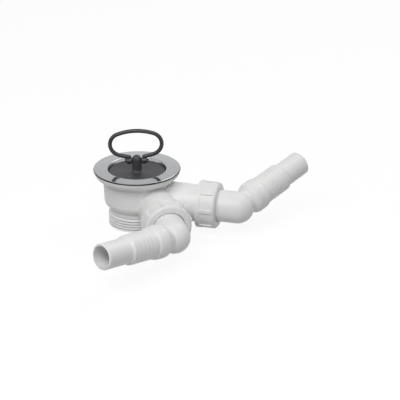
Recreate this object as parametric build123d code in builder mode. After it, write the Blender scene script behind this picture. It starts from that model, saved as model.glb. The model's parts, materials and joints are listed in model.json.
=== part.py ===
from build123d import *
from math import cos, radians, sin
import os

# Sink waste outlet with two side branches: a steel flange drawn down by a centre screw onto a
# moulded body, a loose plug with a pull ring, and a union nut with an elbow hose tail on each branch.
# Millimetres, +Z up. The origin is on the outlet's axis, where the flange's edge meets the body.
# +X runs along the first branch.

# Pressed steel flange
flange_d = 71.4
sheet = 0.8
lip_drop = 1.1
cone_drop = 0.3
mouth_d = 48.2
seat_drop = 4.6
seat_inset = 1.3
ledge_width = 2.0
bowl_depth = 6.0
bowl_draft = 0.8
press_bend_r = 1.1
rim_edge_r = 0.9
drain_hole_d = 7.0
drain_ring_d = 27.0
drain_hole_count = 8

# Centre screw and the nut insert it pulls on
screw_d = 6.0
screw_head_d = 10.4
screw_head_h = 3.0
screw_slot_w = 1.2
screw_slot_depth = 1.4
screw_hole_play = 0.25
thread_play = 0.05
screw_tip_past = 1.5
insert_d = 9.0
insert_h = 11.0
insert_play = 0.05

# Moulded body: collar, cup and threaded outlet
collar_inset = 0.4
collar_wall = 1.6
collar_h = 6.8
collar_foot_d = 58.4
collar_round_in = 0.2
collar_round_down = 0.58
cup_d = 54.4
cup_draft = 0.7
cup_wall = 2.4
cup_bottom = 25.4
taper_h = 6.0
taper_bulge = 1.3
neck_d = 46.4
neck_h = 3.5
thread_root_d = 44.8
thread_h = 12.5
outlet_bore_d = 40.4
outlet_chamfer = 0.8
bridge_w = 5.0
bridge_h = 11.0
bridge_turn = 72.0
boss_d = 14.0
boss_top_below_bowl = 3.5

# Sealing rings under the flange
seal_groove_depth = 3.6
seal_land = 1.7
body_seal_h = 1.6
seal_play = 0.3
flange_seal_play = 0.05

# Branch pipes
branch_z = -24.9
branch_angle = 60.0
branch_offset = 11.7
first_reach = 53.1
second_reach = 45.2
pipe_d = 30.2
pipe_root_d = 32.3
pipe_bore_d = 25.4
pipe_thread_d = 33.0
pipe_thread_start = 2.0

# Union nuts
nut_l = 16.4
nut_d = 37.6
nut_rear_d = 38.6
nut_rear_l = 4.0
nut_edge_r = 2.2
nut_shoulder = 3.0
nut_thread_play = 0.25
nut_hole_play = 0.55
rib_count = 8
rib_w = 2.4
rib_h = 1.0
rib_end = 2.5
first_rib_phase = 40.0
second_rib_phase = 12.0

# Union seals and elbow hose tails
union_seal_h = 2.4
union_seal_play = 0.3
spigot_flange_h = 2.6
elbow_d = 26.0
elbow_wall = 2.2
elbow_past_nut = 15.6
elbow_bend = 60.0
first_twist = 16.0
second_twist = 172.2
tail_l = 75.4
tail_bore_d = 17.4
tail_neck_d = 20.4
bead_start = 11.0
bead_crest = 18.5
bead_end = 24.8
bead_d = 26.2
bead_fall = 0.35
bead_round_along = 0.29
bead_round_up = 0.71
bead_rib_count = 3
bead_rib_h = 0.3
bead_rib_w = 1.2
bead_step_l = 1.2
grip_d = 23.2
grip_end = 50.6
grip_rib_count = 5
grip_rib_h = 0.25
grip_rib_w = 1.8
tip_d = 20.2
tip_step_l = 2.0
tip_chamfer = 0.7

# Plug and pull ring
plug_play = 0.4
plug_sink = 2.5
plug_dish = 0.5
plug_hub_d = 15.0
plug_edge_r = 0.5
plug_foot = 0.8
post_d = 7.8
post_top = 12.0
post_flare_r = 2.5
pivot_z = 7.1
ring_turn = 15.0
ring_lean = 2.3
trunnion_d = 2.2
trunnion_reach = 9.6
trunnion_head_d = 3.2
trunnion_head_l = 1.4
ring_wire_d = 3.3
ring_half_w = 21.0
ring_half_h = 11.4
ring_side_r = 9.4
ring_centre_up = 14.5
eye_d = 5.4
eye_w = 3.4
eye_gap = 0.5
eye_play = 0.38

os.makedirs("parts", exist_ok=True)

# Levels and radii that several pieces share
flange_r = flange_d / 2
rim_top = lip_drop
mouth_z = rim_top - cone_drop
mouth_r = mouth_d / 2
ledge_z = mouth_z - seat_drop
ledge_r = mouth_r - seat_inset
bowl_r = ledge_r - ledge_width
floor_z = ledge_z - bowl_depth
floor_r = bowl_r - bowl_draft
cup_r = cup_d / 2
cup_bore_r = cup_r - cup_wall
neck_top = -cup_bottom - taper_h
thread_top = neck_top - neck_h
outlet_z = thread_top - thread_h
boss_top = floor_z - sheet - boss_top_below_bowl
boss_bottom = boss_top - insert_h - cup_wall
pipe_end_back = nut_shoulder + spigot_flange_h + union_seal_h
nut_bore_r = pipe_thread_d / 2 + nut_thread_play
nut_hole_r = elbow_d / 2 + nut_hole_play
spigot_flange_r = nut_bore_r - union_seal_play

# Each branch as a plane on its pipe's axis: x along the pipe, y level, z up
first_branch = Plane(origin=(0, 0, branch_z), x_dir=(1, 0, 0), z_dir=(0, 0, 1))
second_branch = Plane(
    origin=(branch_offset, 0, branch_z),
    x_dir=(cos(radians(branch_angle)), -sin(radians(branch_angle)), 0),
    z_dir=(0, 0, 1),
)
branches = {
    "first": (first_branch, first_reach, first_twist, first_rib_phase),
    "second": (second_branch, second_reach, second_twist, second_rib_phase),
}


def finish(part, name):
    part.label = name
    export_step(part, f"parts/{name}.step")


# Flange: one pressed sheet, from the turned edge down to the strainer floor
with BuildPart() as flange:
    with BuildSketch(Plane.XZ):
        with BuildLine():
            FilletPolyline(
                (flange_r, 0),
                (flange_r, rim_top),
                (mouth_r, mouth_z),
                (ledge_r, ledge_z),
                (bowl_r, ledge_z),
                (floor_r, floor_z),
                (screw_d / 2 + screw_hole_play, floor_z),
                radius=[rim_edge_r] + [press_bend_r] * 4,
            )
            offset(amount=sheet, side=Side.LEFT)
        make_face()
    revolve(axis=Axis.Z)
    with BuildSketch(Plane.XY.offset(floor_z)):
        with PolarLocations(drain_ring_d / 2, drain_hole_count):
            Circle(drain_hole_d / 2)
    extrude(amount=-sheet, mode=Mode.SUBTRACT)
finish(flange.part, "strainer_flange")

# Centre screw: cheese head on the strainer floor, shank down through the insert
with BuildPart() as screw:
    with BuildSketch(Plane.XY.offset(floor_z)):
        Circle(screw_head_d / 2)
    extrude(amount=screw_head_h)
    with BuildSketch(Plane.XY.offset(floor_z)):
        Circle(screw_d / 2)
    extrude(amount=boss_top - insert_h - screw_tip_past - floor_z)
    with BuildSketch(Plane.XY.offset(floor_z + screw_head_h)):
        Rectangle(screw_head_d, screw_slot_w)
    extrude(amount=-screw_slot_depth, mode=Mode.SUBTRACT)
finish(screw.part, "centre_screw")

with BuildPart() as insert:
    with BuildSketch(Plane.XY.offset(boss_top)):
        RegularPolygon(insert_d / 2, 6)
        Circle(screw_d / 2 + thread_play, mode=Mode.SUBTRACT)
    extrude(amount=-insert_h)
finish(insert.part, "brass_insert")

# Body: the turned outline and both pipes are joined first, and the waterway is cut through them all
collar_r = flange_r - collar_inset
collar_mid_r = collar_r - collar_round_in * (collar_r - collar_foot_d / 2)
groove_outer_r = collar_mid_r - collar_wall
groove_inner_r = cup_bore_r + seal_land
with BuildPart() as body:
    with BuildSketch(Plane.XZ):
        with BuildLine():
            Polyline((0, outlet_z), (0, 0), (collar_r, 0))
            ThreePointArc(
                (collar_r, 0),
                (collar_mid_r, -collar_round_down * collar_h),
                (collar_foot_d / 2, -collar_h),
            )
            Polyline(
                (collar_foot_d / 2, -collar_h),
                (cup_r + cup_draft, -collar_h),
                (cup_r, -cup_bottom),
            )
            ThreePointArc(
                (cup_r, -cup_bottom),
                ((cup_r + neck_d / 2) / 2 + taper_bulge / 2, -cup_bottom - taper_h / 2 - taper_bulge / 2),
                (neck_d / 2, neck_top),
            )
            Polyline(
                (neck_d / 2, neck_top),
                (neck_d / 2, thread_top),
                (thread_root_d / 2, thread_top),
                (thread_root_d / 2, outlet_z + outlet_chamfer),
                (thread_root_d / 2 - outlet_chamfer, outlet_z),
                (0, outlet_z),
            )
        make_face()
    revolve(axis=Axis.Z)
    for plane, reach, *_ in branches.values():
        pipe_end = reach + nut_l - pipe_end_back
        with BuildSketch(plane):
            with BuildLine():
                Polyline(
                    (0, 0),
                    (0, pipe_root_d / 2),
                    (reach, pipe_d / 2),
                    (reach + pipe_thread_start, pipe_d / 2),
                    (reach + pipe_thread_start, pipe_thread_d / 2),
                    (pipe_end, pipe_thread_d / 2),
                    (pipe_end, 0),
                    close=True,
                )
            make_face()
        revolve(axis=Axis(plane.origin, plane.x_dir))
    # Waterway: the cup and outlet, then each pipe's bore
    with BuildSketch(Plane.XZ):
        with BuildLine():
            Polyline(
                (0, outlet_z),
                (outlet_bore_d / 2, outlet_z),
                (outlet_bore_d / 2, neck_top),
                (cup_bore_r, -cup_bottom),
                (cup_bore_r, -seal_groove_depth + seal_play),
                (groove_inner_r, -seal_groove_depth + seal_play),
                (groove_inner_r, -seal_groove_depth),
                (groove_outer_r, -seal_groove_depth),
                (groove_outer_r, 0),
                (0, 0),
                close=True,
            )
        make_face()
    revolve(axis=Axis.Z, mode=Mode.SUBTRACT)
    for plane, reach, *_ in branches.values():
        with BuildSketch(Plane(plane.origin, x_dir=plane.y_dir, z_dir=plane.x_dir)):
            Circle(pipe_bore_d / 2)
        extrude(amount=reach + nut_l, mode=Mode.SUBTRACT)
    # Bridge across the cup with the insert's boss in its middle
    with BuildSketch(Plane.XY.offset(boss_top)):
        Rectangle(2 * cup_bore_r + cup_wall, bridge_w, rotation=bridge_turn)
    extrude(amount=-bridge_h)
    with BuildSketch(Plane.XY.offset(boss_top)):
        Circle(boss_d / 2)
    extrude(amount=boss_bottom - boss_top)
    with BuildSketch(Plane.XY.offset(boss_top)):
        RegularPolygon(insert_d / 2 + insert_play, 6)
    extrude(amount=-insert_h, mode=Mode.SUBTRACT)
    with BuildSketch(Plane.XY.offset(boss_top)):
        Circle(screw_d / 2 + screw_hole_play)
    extrude(amount=boss_bottom - boss_top, mode=Mode.SUBTRACT)
finish(body.part, "waste_body")

# Two sealing rings in the collar's groove: a flat one, and one that follows the flange's cone
ring_seal_in = groove_inner_r + seal_play
ring_seal_out = groove_outer_r - seal_play
body_seal_top = -seal_groove_depth + body_seal_h
cone_slope = cone_drop / (flange_r - mouth_r)


def flange_underside(radius):
    slant = (1 + cone_slope**2) ** 0.5
    return rim_top - cone_slope * (flange_r - radius) - sheet * slant - flange_seal_play


with BuildPart() as body_seal:
    with BuildSketch(Plane.XY.offset(-seal_groove_depth)):
        Circle(ring_seal_out)
        Circle(ring_seal_in, mode=Mode.SUBTRACT)
    extrude(amount=body_seal_h)
finish(body_seal.part, "body_seal")

with BuildPart() as flange_seal:
    with BuildSketch(Plane.XZ):
        with BuildLine():
            Polyline(
                (ring_seal_in, body_seal_top),
                (ring_seal_out, body_seal_top),
                (ring_seal_out, flange_underside(ring_seal_out)),
                (ring_seal_in, flange_underside(ring_seal_in)),
                close=True,
            )
        make_face()
    revolve(axis=Axis.Z)
finish(flange_seal.part, "flange_seal")


def union_nut(plane, reach, rib_phase):
    across = Plane(plane.origin + plane.x_dir * reach, x_dir=plane.y_dir, z_dir=plane.x_dir)
    nut_r = nut_d / 2
    edge_x = reach + nut_l - nut_edge_r
    with BuildPart() as nut:
        with BuildSketch(plane):
            with BuildLine():
                Polyline(
                    (edge_x, nut_r),
                    (reach + nut_rear_l, nut_r),
                    (reach + nut_rear_l, nut_rear_d / 2),
                    (reach, nut_rear_d / 2),
                    (reach, nut_bore_r),
                    (reach + nut_l - nut_shoulder, nut_bore_r),
                    (reach + nut_l - nut_shoulder, nut_hole_r),
                    (reach + nut_l, nut_hole_r),
                    (reach + nut_l, nut_r - nut_edge_r),
                )
                CenterArc((edge_x, nut_r - nut_edge_r), nut_edge_r, 0, 90)
            make_face()
        revolve(axis=Axis(plane.origin, plane.x_dir))
        # Grip ribs run forward from the rear collar
        with BuildSketch(across.offset(nut_rear_l)):
            with PolarLocations(nut_r, rib_count, start_angle=rib_phase):
                Rectangle(2 * rib_h, rib_w)
        extrude(amount=nut_l - nut_rear_l - rib_end)
    return nut.part


def union_seal(plane, reach):
    pipe_end = reach + nut_l - pipe_end_back
    with BuildPart() as seal:
        pipe_face = plane.origin + plane.x_dir * pipe_end
        with BuildSketch(Plane(pipe_face, x_dir=plane.y_dir, z_dir=plane.x_dir)):
            Circle(spigot_flange_r)
            Circle(pipe_bore_d / 2, mode=Mode.SUBTRACT)
        extrude(amount=union_seal_h)
    return seal.part


def ribs_between(start, end, count, rib_width, rib_height):
    """Outline points of evenly spaced ribs on the line between two (distance, radius) points."""
    points = []
    for rib in range(count):
        share = (rib + 1) / (count + 1)
        along = start[0] + share * (end[0] - start[0])
        radius = start[1] + share * (end[1] - start[1])
        points.append((along - rib_width / 2, radius))
        points.append((along, radius + rib_height))
        points.append((along + rib_width / 2, radius))
    return points


def tail_outline():
    """Half outline of the hose tail as (distance from the bend, radius), from bead to tip and back."""
    crest = (bead_crest, bead_d / 2)
    bead_foot = (bead_end, bead_d / 2 - bead_fall)
    grip_top = (bead_end + bead_step_l, grip_d / 2)
    grip_foot = (grip_end, grip_d / 2)
    points = [crest]
    points += ribs_between(crest, bead_foot, bead_rib_count, bead_rib_w, bead_rib_h)
    points += [bead_foot, grip_top]
    points += ribs_between(grip_top, grip_foot, grip_rib_count, grip_rib_w, grip_rib_h)
    points += [grip_foot, (grip_end + tip_step_l, tip_d / 2)]
    points += [(tail_l - tip_chamfer, tip_d / 2), (tail_l, tip_d / 2 - tip_chamfer)]
    return points + [(tail_l, 0), (0, 0), (0, tail_neck_d / 2), (bead_start, tail_neck_d / 2)]


def hose_elbow(plane, reach, twist):
    # The union's own plane turns about the pipe, and its y axis is the side the tail bends to
    tilt = radians(twist)
    union = Plane(
        plane.origin + plane.x_dir * (reach + nut_l),
        x_dir=plane.x_dir,
        z_dir=plane.z_dir * cos(tilt) - plane.y_dir * sin(tilt),
    )
    bend = radians(elbow_bend)
    corner = union.origin + union.x_dir * elbow_past_nut
    tail = Plane(corner, x_dir=union.x_dir * cos(bend) + union.y_dir * sin(bend), z_dir=union.z_dir)
    spigot_start = -nut_shoulder - spigot_flange_h
    bore_r = elbow_d / 2 - elbow_wall
    with BuildPart() as elbow:
        with BuildSketch(union):
            with BuildLine():
                Polyline(
                    (spigot_start, 0),
                    (spigot_start, spigot_flange_r),
                    (-nut_shoulder, spigot_flange_r),
                    (-nut_shoulder, elbow_d / 2),
                    (elbow_past_nut, elbow_d / 2),
                    (elbow_past_nut, 0),
                    close=True,
                )
            make_face()
        revolve(axis=Axis(union.origin, union.x_dir))
        with Locations(corner):
            Sphere(elbow_d / 2)
        with BuildSketch(tail):
            with BuildLine():
                Polyline(*tail_outline())
                ThreePointArc(
                    (bead_start, tail_neck_d / 2),
                    (
                        bead_start + bead_round_along * (bead_crest - bead_start),
                        tail_neck_d / 2 + bead_round_up * (bead_d - tail_neck_d) / 2,
                    ),
                    (bead_crest, bead_d / 2),
                )
            make_face()
        revolve(axis=Axis(tail.origin, tail.x_dir))
        # Waterway
        spigot_face = union.origin + union.x_dir * spigot_start
        with BuildSketch(Plane(spigot_face, x_dir=union.y_dir, z_dir=union.x_dir)):
            Circle(bore_r)
        extrude(amount=elbow_past_nut - spigot_start, mode=Mode.SUBTRACT)
        with Locations(corner):
            Sphere(bore_r, mode=Mode.SUBTRACT)
        with BuildSketch(Plane(corner, x_dir=tail.y_dir, z_dir=tail.x_dir)):
            Circle(tail_bore_d / 2)
        extrude(amount=tail_l, mode=Mode.SUBTRACT)
    return elbow.part


for order, (plane, reach, twist, rib_phase) in branches.items():
    finish(union_nut(plane, reach, rib_phase), f"{order}_union_nut")
    finish(union_seal(plane, reach), f"{order}_union_seal")
    finish(hose_elbow(plane, reach, twist), f"{order}_hose_elbow")

# Plug: a dished disc on the flange's ledge, with a post and two headed trunnions for the ring
across_ring = Vector(cos(radians(ring_turn)), sin(radians(ring_turn)), 0)
ring_upright = Plane((0, 0, pivot_z), x_dir=across_ring, z_dir=across_ring.cross(Vector(0, 0, 1)))
plug_top = mouth_z - plug_sink
hub_z = plug_top - plug_dish
post_r = post_d / 2


def plug_radius(level):
    seat_r = ledge_r + seat_inset * (level - ledge_z) / seat_drop
    return seat_r - plug_play


plug_r = plug_radius(plug_top)
foot_z = ledge_z + plug_foot
with BuildPart() as plug:
    with BuildSketch(Plane.XZ):
        with BuildLine():
            Polyline(
                (0, ledge_z),
                (plug_radius(foot_z) - plug_foot, ledge_z),
                (plug_radius(foot_z), foot_z),
                (plug_r, plug_top - plug_edge_r),
                (plug_r - plug_edge_r, plug_top),
                (plug_hub_d / 2, hub_z),
                (post_r + post_flare_r, hub_z),
            )
            CenterArc((post_r + post_flare_r, hub_z + post_flare_r), post_flare_r, 180, 90)
            Line((post_r, hub_z + post_flare_r), (post_r, post_top - post_r))
            CenterArc((0, post_top - post_r), post_r, 0, 90)
            Line((0, post_top), (0, ledge_z))
        make_face()
    revolve(axis=Axis.Z)
    for side in (-1, 1):
        outward = across_ring * side
        with BuildSketch(Plane((0, 0, pivot_z), z_dir=outward)):
            Circle(trunnion_d / 2)
        extrude(amount=trunnion_reach)
        head_start = outward * (trunnion_reach - trunnion_head_l) + Vector(0, 0, pivot_z)
        with BuildSketch(Plane(head_start, z_dir=outward)):
            Circle(trunnion_head_d / 2)
        extrude(amount=trunnion_head_l)
finish(plug.part, "plug")

# Pull ring: an oval of round wire, open below, with an eye at each end hung loosely on a trunnion
lean = radians(ring_lean)
ring_plane = Plane(
    ring_upright.origin,
    x_dir=ring_upright.x_dir * cos(lean) + ring_upright.y_dir * sin(lean),
    z_dir=ring_upright.z_dir,
)
eye_x = post_r + eye_gap + eye_w / 2
side_x = ring_half_w - ring_side_r
crown_r = (side_x**2 + ring_half_h**2 - ring_side_r**2) / (2 * (ring_half_h - ring_side_r))
joint_angle = Vector(side_x, crown_r - ring_half_h).get_angle(Vector(1, 0))
crown_up = ring_centre_up + ring_half_h - crown_r
sole_up = ring_centre_up - ring_half_h + crown_r
wire_end_up = sole_up - (crown_r**2 - eye_x**2) ** 0.5
end_angle = Vector(eye_x, wire_end_up - sole_up).get_angle(Vector(0, -1))
with BuildPart() as pull_ring:
    with BuildLine(ring_plane) as wire_path:
        CenterArc((0, sole_up), crown_r, 270 + end_angle, 90 - joint_angle - end_angle)
        CenterArc((side_x, ring_centre_up), ring_side_r, -joint_angle, 2 * joint_angle)
        CenterArc((0, crown_up), crown_r, joint_angle, 180 - 2 * joint_angle)
        CenterArc((-side_x, ring_centre_up), ring_side_r, 180 - joint_angle, 2 * joint_angle)
        CenterArc((0, sole_up), crown_r, 180 + joint_angle, 90 - joint_angle - end_angle)
    with BuildSketch(Plane(wire_path.line @ 0, z_dir=wire_path.line % 0)):
        Circle(ring_wire_d / 2)
    sweep()
    for side in (-1, 1):
        shank_foot = ring_plane.from_local_coords(Vector(side * eye_x, 0, 0))
        shank_top = ring_plane.from_local_coords(Vector(side * eye_x, wire_end_up, 0))
        with BuildSketch(Plane(shank_foot, z_dir=ring_plane.y_dir)):
            Circle(ring_wire_d / 2)
        extrude(amount=wire_end_up)
        with Locations(shank_top):
            Sphere(ring_wire_d / 2)
        with BuildSketch(Plane(shank_foot - ring_plane.x_dir * eye_w / 2, z_dir=ring_plane.x_dir)):
            Circle(eye_d / 2)
        extrude(amount=eye_w)
        with BuildSketch(Plane(shank_foot - ring_plane.x_dir * eye_w / 2, z_dir=ring_plane.x_dir)):
            Circle(trunnion_d / 2 + eye_play)
        extrude(amount=eye_w, mode=Mode.SUBTRACT)
finish(pull_ring.part, "pull_ring")
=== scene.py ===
import json
from math import cos, pi, radians, sin

import bpy
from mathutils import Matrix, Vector


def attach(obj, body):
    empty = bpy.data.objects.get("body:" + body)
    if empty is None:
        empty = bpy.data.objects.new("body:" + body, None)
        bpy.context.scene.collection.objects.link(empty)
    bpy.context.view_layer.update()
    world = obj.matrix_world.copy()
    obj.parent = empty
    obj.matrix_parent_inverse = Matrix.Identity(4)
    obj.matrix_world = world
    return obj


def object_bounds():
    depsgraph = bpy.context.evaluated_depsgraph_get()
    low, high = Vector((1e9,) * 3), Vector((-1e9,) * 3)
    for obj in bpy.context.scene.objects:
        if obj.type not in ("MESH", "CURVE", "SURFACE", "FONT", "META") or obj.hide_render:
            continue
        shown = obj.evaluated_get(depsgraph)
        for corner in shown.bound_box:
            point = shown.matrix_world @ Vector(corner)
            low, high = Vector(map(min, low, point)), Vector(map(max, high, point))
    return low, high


# Sink waste outlet: the finishes of its pieces, the outlet's moulded thread, the studio and the
# camera. Metres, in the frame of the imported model: +Z up, the outlet's axis at the origin.

MM = 0.001

# Moulded thread of the outlet: a ridge that stands on the root cylinder, sunk a little into it
THREAD_PITCH = 2.309 * MM
THREAD_ROOT_R = 22.4 * MM
THREAD_CREST_R = 23.9 * MM
THREAD_SINK = 0.9 * MM
THREAD_FOOT_R = THREAD_ROOT_R - THREAD_SINK
THREAD_RIDGE_H = THREAD_CREST_R - THREAD_ROOT_R + THREAD_SINK
THREAD_FOOT_W = 2.25 * MM
THREAD_CREST_W = 0.5 * MM
THREAD_CREST_ROUND = 0.12 * MM
THREAD_LOW = -48.1 * MM
THREAD_HIGH = -36.3 * MM
THREAD_END = -47.2 * MM
THREAD_RISE = THREAD_HIGH - THREAD_LOW
THREAD_TURNS = THREAD_RISE / THREAD_PITCH
THREAD_TURN_STEPS = 96
THREAD_STEPS = round(THREAD_TURN_STEPS * THREAD_TURNS)
THREAD_RUNOUT_STEPS = 9
THREAD_RUNOUT_SHARE = 0.1
THREAD_STEP_REACH = 0.2 * MM
THREAD_SMOOTH_ANGLE = radians(35)

# Branch pipes, where the thread stops
BRANCH_LEVEL = -24.9 * MM
BRANCH_OFFSET = 11.7 * MM
BRANCH_ANGLE = radians(-60)
BRANCH_CUT_R = 15.0 * MM
BRANCH_CUT_L = 60 * MM
BRANCH_CUT_SIDES = 96
END_CUT_SIZE = 80 * MM

# Patterns: the range that a noise mostly keeps to
PATTERN_LOW = 0.3
PATTERN_HIGH = 0.7

# Moulded surfaces: strength of the orange peel
PEEL_STRENGTH = 0.25

# Turned metal: grains to the metre, gloss and depth of the fine rings, and grains of the clouds
RING_GRAIN = 2600
RING_GLOSS = (0.07, 0.13)
RING_STRENGTH = 0.2
RING_DEPTH = 0.08 * MM
CLOUD_GRAIN = 70

# Turned edge of the flange, which carries a painted dark reflection of the surroundings its
# polished metal mirrors, and how steeply its polished face falls outwards
REFLECTION_EDGE_R = 34.95 * MM
REFLECTION_EDGE_TOP = 0.95 * MM
FACE_FALL = 0.12

# Camera that took the photograph's view
CAMERA_PLACE = (0.33227, -1.04124, 0.45977)
CAMERA_TILT = radians(65.92)
CAMERA_TURN = radians(15)
CAMERA_LENS = 130.5
CAMERA_SENSOR = 36.0

# Studio: the room, the floor, and the softboxes with their places and watts
ROOM_LIGHT = 0.18
FLOOR_SIZE = 12.0
FLOOR_BOUNCE = 0.5
FLOOR_GLOW = 0.92
FLOOR_SHADE = 0.1
SOFTBOX_SIZE = 0.8
SOFTBOX_TARGET = (0.05, -0.03, -0.02)
SOFTBOXES = {
    "left_softbox": ((-0.40, -0.81, 1.07), 6.2),
    "front_softbox": ((0.28, -0.90, 1.07), 6.4),
    "back_softbox": ((0.50, 0.75, 1.07), 4.6),
}


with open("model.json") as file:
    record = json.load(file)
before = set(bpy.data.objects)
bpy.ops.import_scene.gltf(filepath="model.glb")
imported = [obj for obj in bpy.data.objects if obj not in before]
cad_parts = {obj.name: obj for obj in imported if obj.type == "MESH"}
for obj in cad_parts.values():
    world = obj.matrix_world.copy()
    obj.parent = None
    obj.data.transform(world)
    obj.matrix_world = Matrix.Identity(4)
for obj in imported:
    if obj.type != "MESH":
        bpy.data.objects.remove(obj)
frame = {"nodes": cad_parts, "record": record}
cad_low, cad_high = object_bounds()
bpy.ops.object.select_all(action="DESELECT")


def apply_all(piece):
    """Applies every modifier of a finished piece."""
    bpy.context.view_layer.objects.active = piece
    for modifier in list(piece.modifiers):
        bpy.ops.object.modifier_apply(modifier=modifier.name)


def settle(piece):
    """Puts the piece's place into its mesh, with its object at the origin."""
    bpy.ops.object.select_all(action="DESELECT")
    piece.select_set(True)
    bpy.context.view_layer.objects.active = piece
    bpy.ops.object.transform_apply(location=True, rotation=True, scale=True)


def pick_vertices(piece, wanted):
    """Leaves edit mode with just the wanted vertices selected, and comes back to it."""
    bpy.ops.mesh.select_mode(type="VERT")
    bpy.ops.mesh.select_all(action="DESELECT")
    bpy.ops.object.mode_set(mode="OBJECT")
    for vertex in piece.data.vertices:
        vertex.select = wanted(vertex.co)
    bpy.ops.object.mode_set(mode="EDIT")


def thread_section():
    """The ridge's section at the thread's low end: a trapezoid with a rounded crest."""
    middle = THREAD_FOOT_R + THREAD_RIDGE_H / 2
    bpy.ops.mesh.primitive_plane_add(size=1, location=(0, 0, 0))
    ridge = bpy.context.object
    ridge.name = ridge.data.name = "outlet_thread"
    ridge.rotation_euler = (pi / 2, 0, 0)
    ridge.scale = (THREAD_RIDGE_H, THREAD_FOOT_W, 1)
    ridge.location = (middle, 0, THREAD_LOW)
    settle(ridge)
    bpy.ops.object.mode_set(mode="EDIT")
    pick_vertices(ridge, lambda co: co.x > middle)
    bpy.ops.transform.resize(
        value=(1, 1, THREAD_CREST_W / THREAD_FOOT_W),
        center_override=(THREAD_CREST_R, 0, THREAD_LOW),
    )
    bpy.ops.mesh.bevel(offset=THREAD_CREST_ROUND, segments=3, affect="VERTICES")
    bpy.ops.mesh.select_all(action="SELECT")
    bpy.ops.mesh.delete(type="ONLY_FACE")
    bpy.ops.object.mode_set(mode="OBJECT")
    return ridge


def wind_up(ridge):
    """Winds the section up the outlet and closes both ends."""
    winding = ridge.modifiers.new("winding", "SCREW")
    winding.axis = "Z"
    winding.angle = 2 * pi * THREAD_TURNS
    winding.screw_offset = THREAD_RISE
    winding.steps = winding.render_steps = THREAD_STEPS
    apply_all(ridge)
    bpy.ops.object.mode_set(mode="EDIT")
    bpy.ops.mesh.select_all(action="SELECT")
    bpy.ops.mesh.fill_holes(sides=0)
    bpy.ops.object.mode_set(mode="OBJECT")


def shrink_step(ridge, step, share):
    """Shrinks one step of the winding towards its foot."""
    angle = 2 * pi * THREAD_TURNS * step / THREAD_STEPS
    level = THREAD_LOW + THREAD_RISE * step / THREAD_STEPS
    outward = Vector((cos(angle), sin(angle), 0))
    across = Vector((-sin(angle), cos(angle), 0))

    def on_step(co):
        in_plane = abs(co.dot(across)) < THREAD_STEP_REACH and co.dot(outward) > 0
        return in_plane and abs(co.z - level) < THREAD_PITCH / 2

    pick_vertices(ridge, on_step)
    foot = outward * THREAD_FOOT_R + Vector((0, 0, level))
    bpy.ops.transform.resize(value=(share, share, share), center_override=foot)


def run_out(ridge):
    """Lets the ridge fade into the root at both ends."""
    bpy.ops.object.mode_set(mode="EDIT")
    for back in range(THREAD_RUNOUT_STEPS):
        share = THREAD_RUNOUT_SHARE + (1 - THREAD_RUNOUT_SHARE) * back / THREAD_RUNOUT_STEPS
        for step in (back, THREAD_STEPS - back):
            shrink_step(ridge, step, share)
    bpy.ops.mesh.select_all(action="SELECT")
    bpy.ops.mesh.normals_make_consistent(inside=False)
    bpy.ops.object.mode_set(mode="OBJECT")


def pipe_cutter(origin_x, azimuth):
    """A rod inside a branch pipe's wall, which stops the thread there."""
    along = Vector((cos(azimuth), sin(azimuth), 0))
    middle = Vector((origin_x, 0, BRANCH_LEVEL)) + along * BRANCH_CUT_L / 2
    bpy.ops.mesh.primitive_cylinder_add(
        vertices=BRANCH_CUT_SIDES,
        radius=BRANCH_CUT_R,
        depth=BRANCH_CUT_L,
        location=middle,
        rotation=(0, pi / 2, azimuth),
    )
    return bpy.context.object


def end_cutter():
    """A block below the outlet's end, which cuts the thread off flat."""
    middle = (0, 0, THREAD_END - END_CUT_SIZE / 2)
    bpy.ops.mesh.primitive_cube_add(size=END_CUT_SIZE, location=middle)
    return bpy.context.object


def cut_off(ridge):
    """Cuts the ridge off at both branch pipes and at the outlet's end."""
    cutters = [pipe_cutter(0, 0), pipe_cutter(BRANCH_OFFSET, BRANCH_ANGLE), end_cutter()]
    for cutter in cutters:
        stop = ridge.modifiers.new("stop", "BOOLEAN")
        stop.operation = "DIFFERENCE"
        stop.object = cutter
        stop.solver = "EXACT"
    apply_all(ridge)
    for cutter in cutters:
        bpy.data.objects.remove(cutter)


def outlet_thread():
    """A ridge wound up the outlet, run out at both ends and cut off at the branch pipes."""
    ridge = thread_section()
    wind_up(ridge)
    run_out(ridge)
    cut_off(ridge)
    settle(ridge)
    bpy.ops.object.shade_smooth_by_angle(angle=THREAD_SMOOTH_ANGLE)
    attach(ridge, "waste")
    return ridge


def new_finish(name):
    finish = bpy.data.materials.new(name)
    finish.use_nodes = True
    return finish, finish.node_tree.nodes, finish.node_tree.links


def grain(nodes, links, coords, scale, detail):
    """A noise over the object's own coordinates, with the given number of grains to the metre."""
    noise = nodes.new("ShaderNodeTexNoise")
    noise.inputs["Scale"].default_value = scale
    noise.inputs["Detail"].default_value = detail
    links.new(coords.outputs["Object"], noise.inputs["Vector"])
    return noise


def spread(nodes, links, source, low, high, socket):
    """Maps a pattern to a range of plain numbers."""
    mapped = nodes.new("ShaderNodeMapRange")
    mapped.inputs["From Min"].default_value = PATTERN_LOW
    mapped.inputs["From Max"].default_value = PATTERN_HIGH
    mapped.inputs["To Min"].default_value = low
    mapped.inputs["To Max"].default_value = high
    links.new(source, mapped.inputs["Value"])
    links.new(mapped.outputs["Result"], socket)


def tint(nodes, links, source, dark, light, socket):
    """Maps a pattern to a range of colours."""
    ramp = nodes.new("ShaderNodeValToRGB")
    ramp.color_ramp.elements[0].position = PATTERN_LOW
    ramp.color_ramp.elements[0].color = (*dark, 1)
    ramp.color_ramp.elements[1].position = PATTERN_HIGH
    ramp.color_ramp.elements[1].color = (*light, 1)
    links.new(source, ramp.inputs["Fac"])
    links.new(ramp.outputs["Color"], socket)


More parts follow.
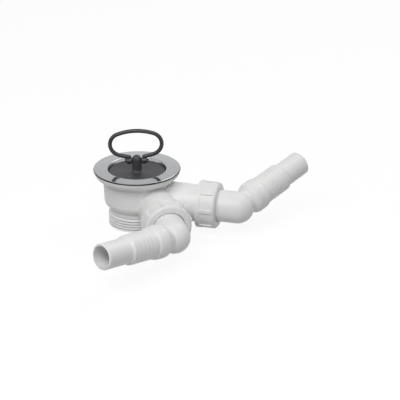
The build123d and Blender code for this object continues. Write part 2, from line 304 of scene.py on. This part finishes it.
def relief(nodes, links, source, strength, depth, socket):
    """Raises a surface by a pattern, as high as the given depth."""
    bump = nodes.new("ShaderNodeBump")
    bump.inputs["Strength"].default_value = strength
    bump.inputs["Distance"].default_value = depth
    links.new(source, bump.inputs["Height"])
    links.new(bump.outputs["Normal"], socket)
    return bump


def moulded(name, dark, light, roughness, cloud, peel, peel_depth):
    """A moulded surface: faint clouds in the colour and gloss, and a fine orange peel."""
    finish, nodes, links = new_finish(name)
    shader = nodes["Principled BSDF"]
    coords = nodes.new("ShaderNodeTexCoord")
    clouds = grain(nodes, links, coords, cloud, detail=4)
    pores = grain(nodes, links, coords, peel, detail=2)
    tint(nodes, links, clouds.outputs["Fac"], dark, light, shader.inputs["Base Color"])
    spread(nodes, links, clouds.outputs["Fac"], *roughness, shader.inputs["Roughness"])
    relief(
        nodes, links, pores.outputs["Fac"], PEEL_STRENGTH, peel_depth, shader.inputs["Normal"]
    )
    return finish


def reflection_edge_mask(nodes, links, coords, radius):
    """1 on the flange's turned edge, where the painted dark reflection goes, and 0 elsewhere."""
    place = nodes.new("ShaderNodeSeparateXYZ")
    links.new(coords.outputs["Object"], place.inputs["Vector"])
    outside = nodes.new("ShaderNodeMath")
    outside.operation = "GREATER_THAN"
    links.new(radius.outputs["Value"], outside.inputs[0])
    outside.inputs[1].default_value = REFLECTION_EDGE_R
    below = nodes.new("ShaderNodeMath")
    below.operation = "LESS_THAN"
    links.new(place.outputs["Z"], below.inputs[0])
    below.inputs[1].default_value = REFLECTION_EDGE_TOP
    edge = nodes.new("ShaderNodeMath")
    edge.operation = "MULTIPLY"
    links.new(outside.outputs["Value"], edge.inputs[0])
    links.new(below.outputs["Value"], edge.inputs[1])
    return edge.outputs["Value"]


def turned_metal(name, dark, light, edge_reflection_colour):
    """Turned and polished metal: fine rings about the axis, a slight crown and a painted dark
    reflection on the turned edge.
    """
    finish, nodes, links = new_finish(name)
    shader = nodes["Principled BSDF"]
    shader.inputs["Metallic"].default_value = 1.0
    coords = nodes.new("ShaderNodeTexCoord")
    flat = nodes.new("ShaderNodeMapping")
    flat.inputs["Scale"].default_value = (1, 1, 0)
    links.new(coords.outputs["Object"], flat.inputs["Vector"])
    radius = nodes.new("ShaderNodeVectorMath")
    radius.operation = "LENGTH"
    links.new(flat.outputs["Vector"], radius.inputs[0])
    rings = nodes.new("ShaderNodeTexNoise")
    rings.noise_dimensions = "1D"
    rings.inputs["Scale"].default_value = RING_GRAIN
    rings.inputs["Detail"].default_value = 3
    links.new(radius.outputs["Value"], rings.inputs["W"])
    clouds = grain(nodes, links, coords, CLOUD_GRAIN, detail=3)
    edge = reflection_edge_mask(nodes, links, coords, radius)
    colour = nodes.new("ShaderNodeMix")
    colour.data_type = "RGBA"
    tint(nodes, links, clouds.outputs["Fac"], dark, light, colour.inputs["A"])
    # Painted reflection: the near-black edge colour stands in for the dark surroundings mirrored
    # in the steel's turned edge
    colour.inputs["B"].default_value = (*edge_reflection_colour, 1)
    links.new(edge, colour.inputs["Factor"])
    links.new(colour.outputs["Result"], shader.inputs["Base Color"])
    marks = rings.outputs["Fac"]
    spread(nodes, links, marks, *RING_GLOSS, shader.inputs["Roughness"])
    turning = relief(nodes, links, marks, RING_STRENGTH, RING_DEPTH, shader.inputs["Normal"])
    crown = nodes.new("ShaderNodeMath")
    crown.operation = "MULTIPLY"
    links.new(radius.outputs["Value"], crown.inputs[0])
    crown.inputs[1].default_value = -FACE_FALL
    relief(nodes, links, crown.outputs["Value"], 1.0, 1.0, turning.inputs["Normal"])
    return finish


def seen_by_camera(nodes, links):
    """1 where a ray from the camera, a mirror or a glass arrives, and 0 for the light it gives."""
    path = nodes.new("ShaderNodeLightPath")
    seen = nodes.new("ShaderNodeMath")
    seen.operation = "MAXIMUM"
    links.new(path.outputs["Is Camera Ray"], seen.inputs[0])
    links.new(path.outputs["Is Glossy Ray"], seen.inputs[1])
    clear = nodes.new("ShaderNodeMath")
    clear.operation = "MAXIMUM"
    links.new(seen.outputs["Value"], clear.inputs[0])
    links.new(path.outputs["Is Transmission Ray"], clear.inputs[1])
    return clear.outputs["Value"]


def white_room():
    """An even white room, white to the eye and plain grey to the light that it gives."""
    world = bpy.data.worlds.new("white_room")
    bpy.context.scene.world = world
    world.use_nodes = True
    nodes = world.node_tree.nodes
    links = world.node_tree.links
    shown = nodes.new("ShaderNodeBackground")
    shown.inputs["Color"].default_value = (1, 1, 1, 1)
    shown.inputs["Strength"].default_value = 1.0
    lighting = nodes["Background"]
    lighting.inputs["Color"].default_value = (1, 1, 1, 1)
    lighting.inputs["Strength"].default_value = ROOM_LIGHT
    mix = nodes.new("ShaderNodeMixShader")
    links.new(seen_by_camera(nodes, links), mix.inputs["Fac"])
    links.new(lighting.outputs["Background"], mix.inputs[1])
    links.new(shown.outputs["Background"], mix.inputs[2])
    links.new(mix.outputs["Shader"], nodes["World Output"].inputs["Surface"])


def pale_floor():
    """A white floor under the outlet's end, which keeps a soft shadow."""
    bpy.ops.mesh.primitive_plane_add(size=FLOOR_SIZE, location=(0, 0, cad_low.z))
    floor = bpy.context.object
    floor.name = "floor"
    finish, nodes, links = new_finish("pale_floor")
    nodes.remove(nodes["Principled BSDF"])
    bounce = nodes.new("ShaderNodeBsdfDiffuse")
    bounce.inputs["Color"].default_value = (FLOOR_BOUNCE, FLOOR_BOUNCE, FLOOR_BOUNCE, 1)
    shade = nodes.new("ShaderNodeBsdfDiffuse")
    shade.inputs["Color"].default_value = (FLOOR_SHADE, FLOOR_SHADE, FLOOR_SHADE, 1)
    glow = nodes.new("ShaderNodeEmission")
    glow.inputs["Color"].default_value = (1, 1, 1, 1)
    glow.inputs["Strength"].default_value = FLOOR_GLOW
    shown = nodes.new("ShaderNodeAddShader")
    links.new(shade.outputs["BSDF"], shown.inputs[0])
    links.new(glow.outputs["Emission"], shown.inputs[1])
    mix = nodes.new("ShaderNodeMixShader")
    links.new(seen_by_camera(nodes, links), mix.inputs["Fac"])
    links.new(bounce.outputs["BSDF"], mix.inputs[1])
    links.new(shown.outputs["Shader"], mix.inputs[2])
    links.new(mix.outputs["Shader"], nodes["Material Output"].inputs["Surface"])
    floor.data.materials.append(finish)


def softbox(name, place, watts):
    """A round soft lamp that faces the outlet."""
    bpy.ops.object.light_add(type="AREA", location=place)
    lamp = bpy.context.object
    lamp.name = name
    lamp.data.shape = "DISK"
    lamp.data.size = SOFTBOX_SIZE
    lamp.data.energy = watts
    facing = Vector(SOFTBOX_TARGET) - Vector(place)
    lamp.rotation_euler = facing.to_track_quat("-Z", "Y").to_euler()


def photo_camera():
    """The camera at the photograph's angle."""
    tilt = (CAMERA_TILT, 0, CAMERA_TURN)
    bpy.ops.object.camera_add(location=CAMERA_PLACE, rotation=tilt)
    camera = bpy.context.object
    camera.data.lens = CAMERA_LENS
    camera.data.sensor_width = CAMERA_SENSOR
    bpy.context.scene.camera = camera


finishes = {
    "white_plastic": moulded(
        "white_plastic",
        dark=(0.85, 0.85, 0.845),
        light=(0.88, 0.88, 0.875),
        roughness=(0.36, 0.46),
        cloud=60,
        peel=1500,
        peel_depth=0.02 * MM,
    ),
    "steel": turned_metal(
        "steel",
        dark=(0.37, 0.38, 0.395),
        light=(0.40, 0.41, 0.425),
        # painted dark reflection on the turned edge
        edge_reflection_colour=(0.03, 0.03, 0.032),
    ),
    "brass": turned_metal(
        "brass",
        dark=(0.66, 0.50, 0.24),
        light=(0.72, 0.55, 0.27),
        edge_reflection_colour=(0.72, 0.55, 0.27),
    ),
    "plug_rubber": moulded(
        "plug_rubber",
        dark=(0.030, 0.030, 0.033),
        light=(0.042, 0.042, 0.046),
        roughness=(0.5, 0.6),
        cloud=90,
        peel=2200,
        peel_depth=0.02 * MM,
    ),
    "black_plastic": moulded(
        "black_plastic",
        dark=(0.020, 0.021, 0.021),
        light=(0.030, 0.031, 0.031),
        roughness=(0.30, 0.42),
        cloud=90,
        peel=1800,
        peel_depth=0.02 * MM,
    ),
    "seal_rubber": moulded(
        "seal_rubber",
        dark=(0.02, 0.02, 0.02),
        light=(0.03, 0.03, 0.03),
        roughness=(0.55, 0.7),
        cloud=90,
        peel=2200,
        peel_depth=0.03 * MM,
    ),
}
for subpart in frame["record"]["subparts"]:
    mesh = frame["nodes"][subpart["node"]].data
    mesh.materials.clear()
    mesh.materials.append(finishes[subpart["material_slot"]])
thread = outlet_thread()
thread.data.materials.append(finishes["white_plastic"])

white_room()
pale_floor()
for name, (place, watts) in SOFTBOXES.items():
    softbox(name, place, watts)
photo_camera()
bpy.context.scene.view_settings.view_transform = "Standard"
